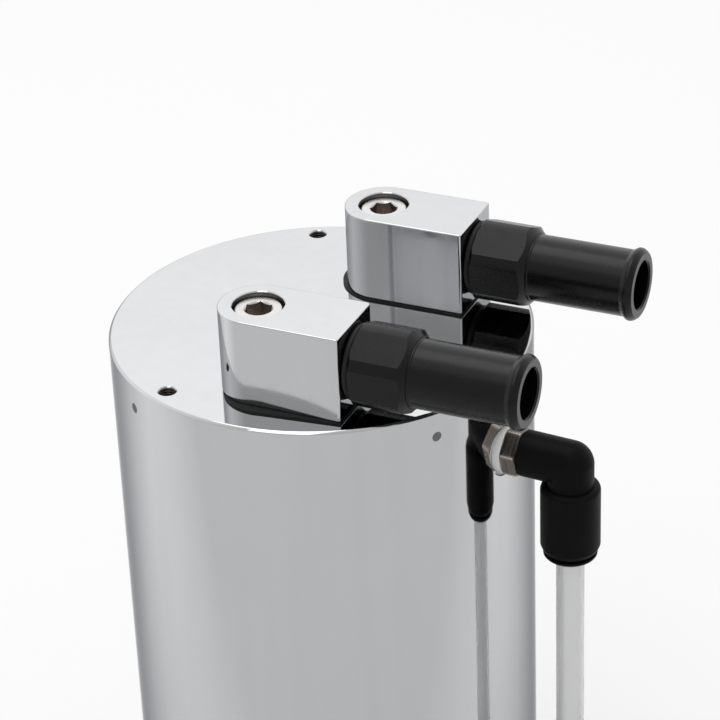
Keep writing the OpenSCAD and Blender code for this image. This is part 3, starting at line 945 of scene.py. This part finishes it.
@dataclass
class CanBase:
    """The base plate with its screws, drain plug and seals."""

    radius: float = 60.0
    thick: float = 6.0
    spigot: float = 50.9
    spigot_top: float = 12.0
    groove: float = 49.1
    groove_ends: Pair = (8.0, 10.0)
    bevel: float = 0.8
    screw_circle: float = 55.5
    screw_count: int = 6
    screw_radius: float = 2.0
    screw_low: float = 0.3
    screw_end: float = 12.0
    screw_socket: float = 2.5
    drain: Pair = (-32.0, 0.0)
    pocket: float = 12.0
    drain_radius: float = 6.0
    head_radius: float = 9.0
    head_socket: float = 8.0
    sink: float = 0.8
    washer: float = 1.0
    pocket_floor: float = 5.5

    def screw_places(self) -> list[Matrix]:
        """Gives the places of the base screws."""
        step = 360 / self.screw_count
        return [spun(30 + step * index) @ at(self.screw_circle, 0, 0)
                for index in range(self.screw_count)]

    def plate(self) -> None:
        """Turns the plate and cuts its countersinks and drain pocket."""
        low, high = self.groove_ends
        form = Form.turned([
            (self.radius - self.bevel, 0), (self.radius, self.bevel), (self.radius, self.thick),
            (self.spigot, self.thick), (self.spigot, low), (self.groove, low),
            (self.groove, high), (self.spigot, high), (self.spigot, self.spigot_top)], FINE)
        form.round_edges(0.2, only=lambda edge: max(v.co.z for v in edge.verts)
                         < self.thick + 0.1 and edge.verts[0].co.xy.length > self.spigot + 1)
        sink = Form.turned([(5.6, -1), (4.3, 0), (2.1, 2.3), (2.1, self.thick + 1)], SMALL)
        cutters = [sink.copy().move(place) for place in self.screw_places()]
        pocket = Form.turned([
            (self.pocket + 1.4, -1), (self.pocket, 0.4), (self.pocket, self.pocket_floor),
            (self.drain_radius + 0.1, self.pocket_floor),
            (self.drain_radius + 0.1, self.spigot_top + 1)])
        cutters.append(pocket.move(at(*self.drain, 0)))
        form.cut(*cutters).piece("base_plate_turned", MIRROR, Body.CAN, "base_plate")

    def screws(self) -> None:
        """Turns one countersunk screw with a hexagon socket and sets all of them."""
        head = 2 * self.screw_radius - 0.1
        low = self.screw_low
        screw = Form.turned([
            (head - 0.15, low), (head, low + 0.12),
            (self.screw_radius, low + self.screw_radius - 0.1),
            (self.screw_radius, self.screw_end)], SMALL)
        screw.cut(Form.prism(6, self.screw_socket, -1, 1.6))
        whole = Form()
        part = bpy.data.meshes.new("passing")
        for place in self.screw_places():
            screw.copy().move(place).mesh.to_mesh(part)
            whole.mesh.from_mesh(part)
        bpy.data.meshes.remove(part)
        whole.piece("base_screws_turned", STEEL, Body.CAN, "base_screws")

    def drain_plug(self) -> None:
        """Turns the drain plug with its hexagon socket."""
        shoulder = self.pocket_floor - self.washer
        plug = Form.turned([
            (self.head_radius - 0.5, self.sink), (self.head_radius, self.sink + 0.5),
            (self.head_radius, shoulder), (self.drain_radius, shoulder),
            (self.drain_radius, self.spigot_top)])
        plug.round_edges(0.15).cut(Form.prism(6, self.head_socket, -1, shoulder))
        plug.move(at(*self.drain, 0)).piece("drain_plug_turned", STEEL, Body.CAN, "drain_plug")

    def drain_washer(self) -> None:
        """Turns the crush washer above the drain plug's head."""
        washer = Form.pipe(self.drain_radius + 0.1, self.head_radius + 0.5,
                           self.pocket_floor - self.washer, self.pocket_floor)
        washer.round_edges(0.2).move(at(*self.drain, 0))
        washer.piece("drain_washer_turned", COPPER, Body.CAN, "drain_washer")

    def build(self) -> None:
        """Builds the plate and everything in it."""
        self.plate()
        self.screws()
        self.drain_plug()
        self.drain_washer()


@dataclass
class HosePort:
    """One swivelling port: block, hose barb, hollow bolt and ring seal."""

    label: str
    body: Body
    bolt: Pair
    bolt_end: float
    hex_turn: float
    socket_turn: float
    block_radius: float = 11.1
    reach: float = 28.0
    bottom: float = 190.6
    top: float = 215.6
    edge: float = 0.4
    corner: float = 0.8
    axis: float = 203.6
    pocket: float = 7.1
    pocket_floor: float = 208.4
    bolt_hole: float = 5.1
    tail: float = 8.5
    tail_start: float = 16.0
    head: float = 6.8
    head_top: float = 214.3
    head_height: float = 5.0
    shank: float = 5.0
    bore: float = 3.0
    socket: float = 7.0
    hex_start: float = 30.4
    hex_end: float = 46.4
    flats: float = 22.2
    stock: float = 11.98
    tube: float = 9.45
    tube_bore: float = 6.85
    bead: float = 10.35
    mouth: float = 77.5
    seal: float = 1.0
    # Place of the painted reflection streak along x, and the colour of the painted shade in the
    # bolt pocket.
    reflection_streak: float = 40.0
    pocket_shade_colour: Triple = (0.17, 0.165, 0.158)

    def place(self) -> Matrix:
        """Places what is drawn about the bolt's axis."""
        return at(*self.bolt, 0)

    def hose_place(self) -> Matrix:
        """Places what is turned about the hose's axis, with its length along +X."""
        return self.place() @ at(0, 0, self.axis) @ ALONG_X

    def block(self) -> None:
        """Bevels a slab into the round-ended block and cuts its bores."""
        r = self.block_radius
        form = Form.slab((-r, -r, self.bottom), (self.reach, r, self.top))
        form.round_edges(r - 0.002, 48, only=lambda edge: upright(edge)
                         and edge.verts[0].co.x < -r + TINY)
        bmesh.ops.remove_doubles(form.mesh, verts=form.mesh.verts, dist=0.01)
        form.round_edges(self.corner, 5, 40, upright).round_edges(self.edge, 4, 40)
        pocket = Form.turned([
            (self.pocket, self.pocket_floor), (self.pocket, self.top - 0.25),
            (self.pocket + 1.25, self.top + 1)])
        hole = Form.bar(self.bolt_hole, self.bottom - 1, self.pocket_floor + 1)
        tail = Form.turned([
            (self.tail + 0.1, self.tail_start - 0.5), (self.tail + 0.1, self.reach - 0.4),
            (self.tail + 1.5, self.reach + 1)])
        tail.move(at(0, 0, self.axis) @ ALONG_X)
        form.cut(pocket, hole, tail).move(self.place())
        # Painted shade in the bolt pocket around the bolt head.
        well = (metres(*self.bolt, self.top), (self.pocket + 0.3) * MM)
        finish = MirrorAluminium(name=f"mirror_aluminium_{self.label}", roughness=0.05,
                                 well_shade_colour=self.pocket_shade_colour, wells=(well,),
                                 reflection_streak=(self.bolt[0] + self.reflection_streak) * MM)
        node = f"{self.label}_block"
        form.piece(f"{node}_polished", finish, self.body, node)

    def hexagon(self) -> Form:
        """Makes the hexagon, whose corners are left round from the bar it is milled from."""
        form = Form.prism(6, self.flats, self.hex_start, self.hex_end, 180 + self.hex_turn)
        envelope = Form.turned([
            (self.stock - 0.6, self.hex_start), (self.stock, self.hex_start + 0.6),
            (self.stock, self.hex_end - 1.9), (self.tube + 0.5, self.hex_end)], SMOOTH)
        return form.meet(envelope)

    def barb(self) -> None:
        """Joins the hexagon, the tube and its bead, and bores them through."""
        start = self.mouth - 3.6
        neck, tube, bead = self.hex_end, self.tube, self.bead
        form = Form.turned([
            (self.tail, self.tail_start), (self.tail, self.hex_start + 1),
            (tube + 0.3, self.hex_start + 1), (tube + 0.3, neck + 0.4), (tube, neck + 0.7),
            (tube, start), (bead - 0.35, start + 0.9), (bead - 0.08, start + 1.3),
            (bead, start + 1.75), (bead - 0.08, start + 2.2), (bead - 0.3, start + 2.7),
            (bead - 0.8, self.mouth - 0.25), (bead - 1.2, self.mouth)], SMOOTH)
        bore = Form.turned([
            (self.tube_bore, self.tail_start - 1), (self.tube_bore, self.mouth - 0.5),
            (self.tube_bore + 0.12, self.mouth - 0.3),
            (self.tube_bore + 1.1, self.mouth + 0.8)], SMOOTH)
        form = self.hexagon().join(form).cut(bore).move(self.hose_place())
        node = f"{self.label}_barb"
        form.piece(f"{node}_turned", ANODISED, self.body, node, sharp=24)

    def bolt_form(self) -> None:
        """Turns the hollow bolt and cuts its countersunk socket."""
        under = self.head_top - self.head_height
        form = Form.turned([
            (self.shank, self.bolt_end), (self.shank, under), (self.head, under),
            (self.head, self.head_top - 0.5), (self.head - 0.5, self.head_top)])
        form.round_edges(0.18, 3, only=lambda edge: edge.verts[0].co.z > self.head_top - 0.6)
        bore = Form.bar(self.bore, self.bolt_end - 1, self.axis + 3.8, 64)
        socket = Form.prism(6, self.socket, self.head_top - 4, self.head_top + 1,
                            self.socket_turn)
        sink = Form.turned([
            (self.socket / 2, self.head_top - 0.45), (self.socket / 2 + 1.75, self.head_top + 1)])
        form.cut(bore, socket, sink).move(self.place())
        # Painted shade in the bolt's socket.
        well = (metres(*self.bolt, self.head_top), self.socket * 0.6 * MM)
        finish = BoltSteel(name=f"bolt_steel_{self.label}", wells=(well,))
        node = f"{self.label}_bolt"
        form.piece(f"{node}_turned", finish, Body.CAN, node, sharp=24)

    def ring_seal(self) -> None:
        """Spins the ring seal behind the hexagon."""
        middle = (self.tail + self.seal + 0.05, self.reach + self.seal + 0.2)
        form = Form.turned(arc(middle, self.seal, 0, 352, 44), ring=True)
        node = f"{self.label}_barb_seal"
        form.move(self.hose_place()).piece(f"{node}_round", RUBBER, self.body, node)

    def build(self) -> None:
        """Builds the port's pieces."""
        self.block()
        self.barb()
        self.bolt_form()
        self.ring_seal()


@dataclass
class GaugeFitting:
    """One end of the level gauge, drawn with its leg along +X and its sleeve down."""

    label: str
    place: Matrix
    turn: float
    ring_body: Body
    seat: float = 58.3
    ring_thick: float = 2.3
    ring_radius: float = 7.0
    thread: float = 4.85
    wall: float = 4.0
    flats: float = 12.6
    hex_length: float = 4.5
    hex_turn: float = -16.0
    leg_start: float = 65.1
    tube_axis: float = 79.0
    arm: float = 6.57
    sleeve: float = 8.4
    sleeve_end: float = 27.2
    shoulder: float = 1.6
    collet: float = 5.5
    collet_top: float = 21.87
    tube: float = 4.0
    flange: float = 7.6
    flange_top: float = 28.2
    flange_end: float = 29.4

    def adapter(self) -> None:
        """Builds the nickel adapter with its hexagon."""
        start = self.seat + self.ring_thick
        end = start + self.hex_length
        form = Form.prism(6, self.flats, start, end, 180 - self.hex_turn)
        form.round_edges(0.3, 3, 40, upright)
        wide = self.flats / 2 + 1.1
        form.meet(Form.turned([
            (wide - 1, start), (wide, start + 0.5), (wide, end - 0.5), (wide - 1, end)]))
        thread = Form.bar(self.thread, self.seat - self.wall - 1.5, start + 0.5)
        stem = Form.bar(self.arm - 2.7, end - 0.5, end + 5)
        bore = Form.bar(self.tube - 1.5, self.seat - self.wall - 3, end + 6, 64)
        form.join(thread, stem).cut(bore).move(self.place @ ALONG_X)
        finish = Nickel(name=f"nickel_{self.label}", axis=metres(*self.place.translation),
                        turn=self.turn)
        node = f"{self.label}_adapter"
        form.piece(f"{node}_plated", finish, Body.CAN, node, sharp=24)

    def seal_ring(self) -> None:
        """Turns the white sealing ring."""
        form = Form.pipe(self.thread + 0.1, self.ring_radius, self.seat,
                         self.seat + self.ring_thick)
        form.round_edges(0.2, 3).move(self.place @ ALONG_X)
        node = f"{self.label}_seal_ring"
        form.piece(f"{node}_round", WHITE, Body.CAN, node)

    def elbow(self) -> None:
        """Joins the leg to the sleeve with its round corner, and bores both."""
        aside = at(self.tube_axis, 0, 0)
        leg = Form.turned([
            (self.arm - 0.25, self.leg_start), (self.arm, self.leg_start + 0.25),
            (self.arm, self.tube_axis)]).move(ALONG_X)
        wide, end = self.sleeve, -self.sleeve_end
        corner = (wide - self.shoulder, -self.arm - self.shoulder)
        sleeve = Form.turned([
            (0, self.arm), *arc((0, 0), self.arm, 86.25, 0, 23), (self.arm, -self.arm),
            *arc(corner, self.shoulder, 75, 0, 6), (wide, end + 1.6), (wide - 0.12, end + 1.25),
            (wide - 0.55, end + 0.2), (wide - 0.75, end)])
        stop = -self.arm - 4.6
        leg_bores = (Form.bar(self.arm - 2.6, self.leg_start - 1, self.leg_start + 5.5),
                     Form.bar(self.tube - 1, self.leg_start + 5, self.tube_axis))
        bores = (Form.bar(self.tube - 1, stop - 1, 0), Form.bar(self.tube + 0.1, end - 1, stop),
                 Form.bar(self.collet, end - 1, -self.collet_top))
        arm = sleeve.move(aside).join(leg).cut(*(bore.move(ALONG_X) for bore in leg_bores),
                                               *(bore.move(aside) for bore in bores))
        arm.move(self.place)
        finish = MouldedBlack(name=f"moulded_black_{self.label}",
                              seam=(metres(*self.place.translation), self.turn))
        node = f"{self.label}_elbow"
        arm.piece(f"{node}_moulded", finish, Body.CAN, node, sharp=28)

    def release_ring(self) -> None:
        """Turns the collet that frees the tube when it is pressed."""
        inside, stem, wide = self.tube + 0.3, self.collet - 0.3, self.flange
        top, under, end = -self.collet_top - 1.4, -self.flange_top, -self.flange_end
        form = Form.turned([
            (inside, end), (wide - 0.9, end), (wide - 0.35, end + 0.2), (wide - 0.05, end + 0.6),
            (wide, end + 0.9), (wide, under), (stem, under), (stem, top), (inside, top)],
            ring=True)
        form.round_edges(0.12, 2, 50).move(self.place @ at(self.tube_axis, 0, 0))
        node = f"{self.label}_release_ring"
        form.piece(f"{node}_moulded", RING_PLASTIC, self.ring_body, node)

    def build(self) -> None:
        """Builds the fitting's pieces."""
        self.adapter()
        self.seal_ring()
        self.elbow()
        self.release_ring()


@dataclass
class LevelTube:
    """The clear tube between the two gauge fittings."""

    gauge: GaugeFrame
    axis: float = 79.0
    radius: float = 4.0
    wall: float = 1.0
    low: float = 37.17
    high: float = 155.03

    def build(self) -> None:
        """Turns the tube."""
        form = Form.pipe(self.radius - self.wall, self.radius, self.low, self.high)
        form.move(self.gauge.place(0) @ at(self.axis, 0, 0))
        form.piece("level_tube", CLEAR, Body.CAN, "gauge_tube")


@dataclass
class InnerParts:
    """CAD nodes whose shape is right as it is, dressed with their own finishes."""

    finishes: dict[str, Finish] = field(default_factory=lambda: {
        "base_seal": RUBBER, "inlet_gasket": RUBBER, "outlet_gasket": RUBBER,
        "inlet_washer": RUBBER, "outlet_washer": RUBBER,
        "upper_tube_seal": RUBBER, "lower_tube_seal": RUBBER,
        "upper_grip_ring": STEEL, "lower_grip_ring": STEEL,
        "baffle_plate": TURNED, "baffle_standoffs": TURNED, "baffle_screws": STEEL,
        "dip_tube": TURNED})

    def build(self) -> None:
        """Gives each node its finish."""
        for name, finish in self.finishes.items():
            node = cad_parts[name]
            node.data.materials.clear()
            node.data.materials.append(finish.material())
            LOG.info("%s keeps its CAD shape in %s", name, finish.name)


# Studio


@dataclass
class Studio:
    """Pale floor, soft lamps, white surroundings and the camera."""

    camera_at: Triple = (307.07, -634.43, 581.10)
    azimuth: float = 24.97
    elevation: float = 29.81
    roll: float = -2.33
    lens: float = 142.79
    ambient: float = 0.72
    dim_side: float = 0.55
    floor_colour: Triple = (0.7, 0.7, 0.7)
    floor_glow: float = 0.31
    glow_reach: Pair = (-0.14, 0.07)

    def rays(self, bench: Bench) -> tuple[Signal, Signal]:
        """Tells which rays show the background.

        Args:
            bench: Bench of the floor's material or of the world.

        Returns:
            1 for rays straight from the camera, and 1 for those and the ones in metal and glass.
        """
        path = bench.node("ShaderNodeLightPath")
        camera, glossy, through = (bench.signal(path, name) for name in
                                   ("Is Camera Ray", "Is Glossy Ray", "Is Transmission Ray"))
        return camera, camera.most(glossy).most(through)

    def away(self, bench: Bench) -> Signal:
        """Measures how far a place or direction lies away from the photograph's side.

        Args:
            bench: Bench of the floor's material or of the world.

        Returns:
            The distance, or the direction's share.
        """
        x, y, _ = bench.axes(bench.place())
        azimuth = math.radians(self.azimuth)
        return y * math.cos(azimuth) - x * math.sin(azimuth)

    def floor(self) -> None:
        """Lays the floor, which glows for the camera, and behind the can in the metal too."""
        bench, material = Bench.for_material("studio_floor")
        matt = bench.node("ShaderNodeBsdfDiffuse", inputs={"Color": self.floor_colour})
        rise = self.away(bench).rise(*self.glow_reach)
        straight, shown = self.rays(bench)
        glow = bench.node("ShaderNodeEmission", inputs={
            "Strength": (shown * rise).most(straight) * self.floor_glow})
        bench.end(bench.node("ShaderNodeAddShader",
                             inputs={0: matt.outputs[0], 1: glow.outputs[0]}))
        bm = bmesh.new()
        bmesh.ops.create_grid(bm, x_segments=1, y_segments=1, size=20.0)
        mesh = bpy.data.meshes.new("studio_floor")
        bm.to_mesh(mesh)
        bm.free()
        mesh.materials.append(material)
        placed("studio_floor", mesh)

    def surroundings(self) -> None:
        """Makes the world white, with a dimmer room at the camera's side in the metal."""
        world = bpy.data.worlds.new("studio")
        bpy.context.scene.world = world
        world.use_nodes = True
        bench = Bench(world.node_tree)
        straight, shown = self.rays(bench)
        room = self.dim_side + self.away(bench).rise(-0.5, 0.3) * (1.0 - self.dim_side)
        strength = (shown * (room - self.ambient) + self.ambient).most(straight)
        bench.end(bench.node("ShaderNodeBackground", inputs={
            "Color": (1.0, 1.0, 1.0), "Strength": strength}), "World")

    def lamp(self, name: str, place: Triple, size: Pair, shine: float) -> None:
        """Hangs a soft flat lamp that looks at the can's top.

        Args:
            name: Name of the lamp.
            place: Its place in metres.
            size: Its width and height in metres.
            shine: How bright its face looks, where 1 is white.
        """
        light = bpy.data.lights.new(name, "AREA")
        light.shape = "RECTANGLE"
        light.size, light.size_y = size
        light.energy = shine * math.pi * size[0] * size[1]
        lamp = placed(name, light)
        lamp.location = place
        lamp.rotation_euler = (Vector((0.0, 0.0, 0.15)) - Vector(place)).to_track_quat(
            "-Z", "Y").to_euler()
        lamp.visible_camera = False

    def camera(self) -> None:
        """Sets the camera at the photograph's place."""
        data = bpy.data.cameras.new("camera")
        data.lens = self.lens
        data.sensor_width = 36.0
        camera = placed("camera", data)
        tilt = Matrix.Rotation(math.radians(90 - self.elevation), 4, "X")
        camera.matrix_world = (at(*metres(*self.camera_at)) @ spun(self.azimuth) @ tilt
                               @ spun(self.roll))
        bpy.context.scene.camera = camera

    def build(self) -> None:
        """Sets up the whole studio."""
        self.camera()
        self.floor()
        self.surroundings()
        self.lamp("back_softbox", (-0.83, 1.71, 1.36), (2.8, 1.9), 0.27)
        self.lamp("top_lamp", (-0.25, 0.1, 1.7), (0.9, 0.9), 1.8)
        self.lamp("front_lamp", (-0.05, -0.92, 1.85), (0.9, 0.9), 1.2)
        bpy.context.scene.view_settings.view_transform = "Standard"


def main() -> None:
    """Builds the studio and every piece, in order."""
    logging.basicConfig(level=logging.INFO, format="%(message)s")
    Studio().build()
    gauge = GaugeFrame()
    CanShell(gauge=gauge).build()
    CanBase().build()
    HosePort("inlet", Body.INLET, (0.0, -38.0), 172.0, 5.4, 47.3).build()
    # The outlet block's painted reflection streak lies 6.8 mm along x from its bolt.
    HosePort("outlet", Body.OUTLET, (8.0, 28.0), 178.0, 5.4, 24.0, reflection_streak=6.8).build()
    upper, lower = gauge.ends()
    GaugeFitting("upper", upper, gauge.turn, Body.UPPER_RING).build()
    GaugeFitting("lower", lower, gauge.turn, Body.LOWER_RING).build()
    LevelTube(gauge).build()
    InnerParts().build()


if __name__ == "__main__":
    main()
